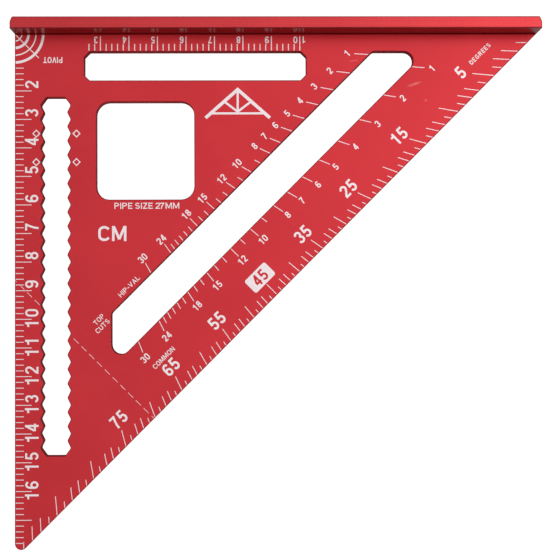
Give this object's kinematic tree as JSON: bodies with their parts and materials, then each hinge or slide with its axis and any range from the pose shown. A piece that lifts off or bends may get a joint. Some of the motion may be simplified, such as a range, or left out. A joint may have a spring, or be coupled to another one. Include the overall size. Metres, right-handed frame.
{
  "type": "speed square",
  "caption": "Right-angled triangular aluminium blade with a fence across one leg, notched scribing slot, window, ruler slot and rafter slot, for marking and guiding cuts across boards.",
  "frame": {"origin": "pivot corner: the blade's square edge where it meets the fence's inner face, halfway through the blade", "axes": "+X along the fence, +Y from the blade out through the fence, +Z out of the graduated face"},
  "size_m": [0.1835, 0.1845, 0.025],
  "materials": {
    "red_anodised_aluminium": "satin red anodised, fine brushed grain",
    "laser_marking": "matt white laser-bleached marks"
  },
  "bodies": {
    "root": {"blade": "red_anodised_aluminium", "fence": "red_anodised_aluminium"}
  },
  "joints": []
}
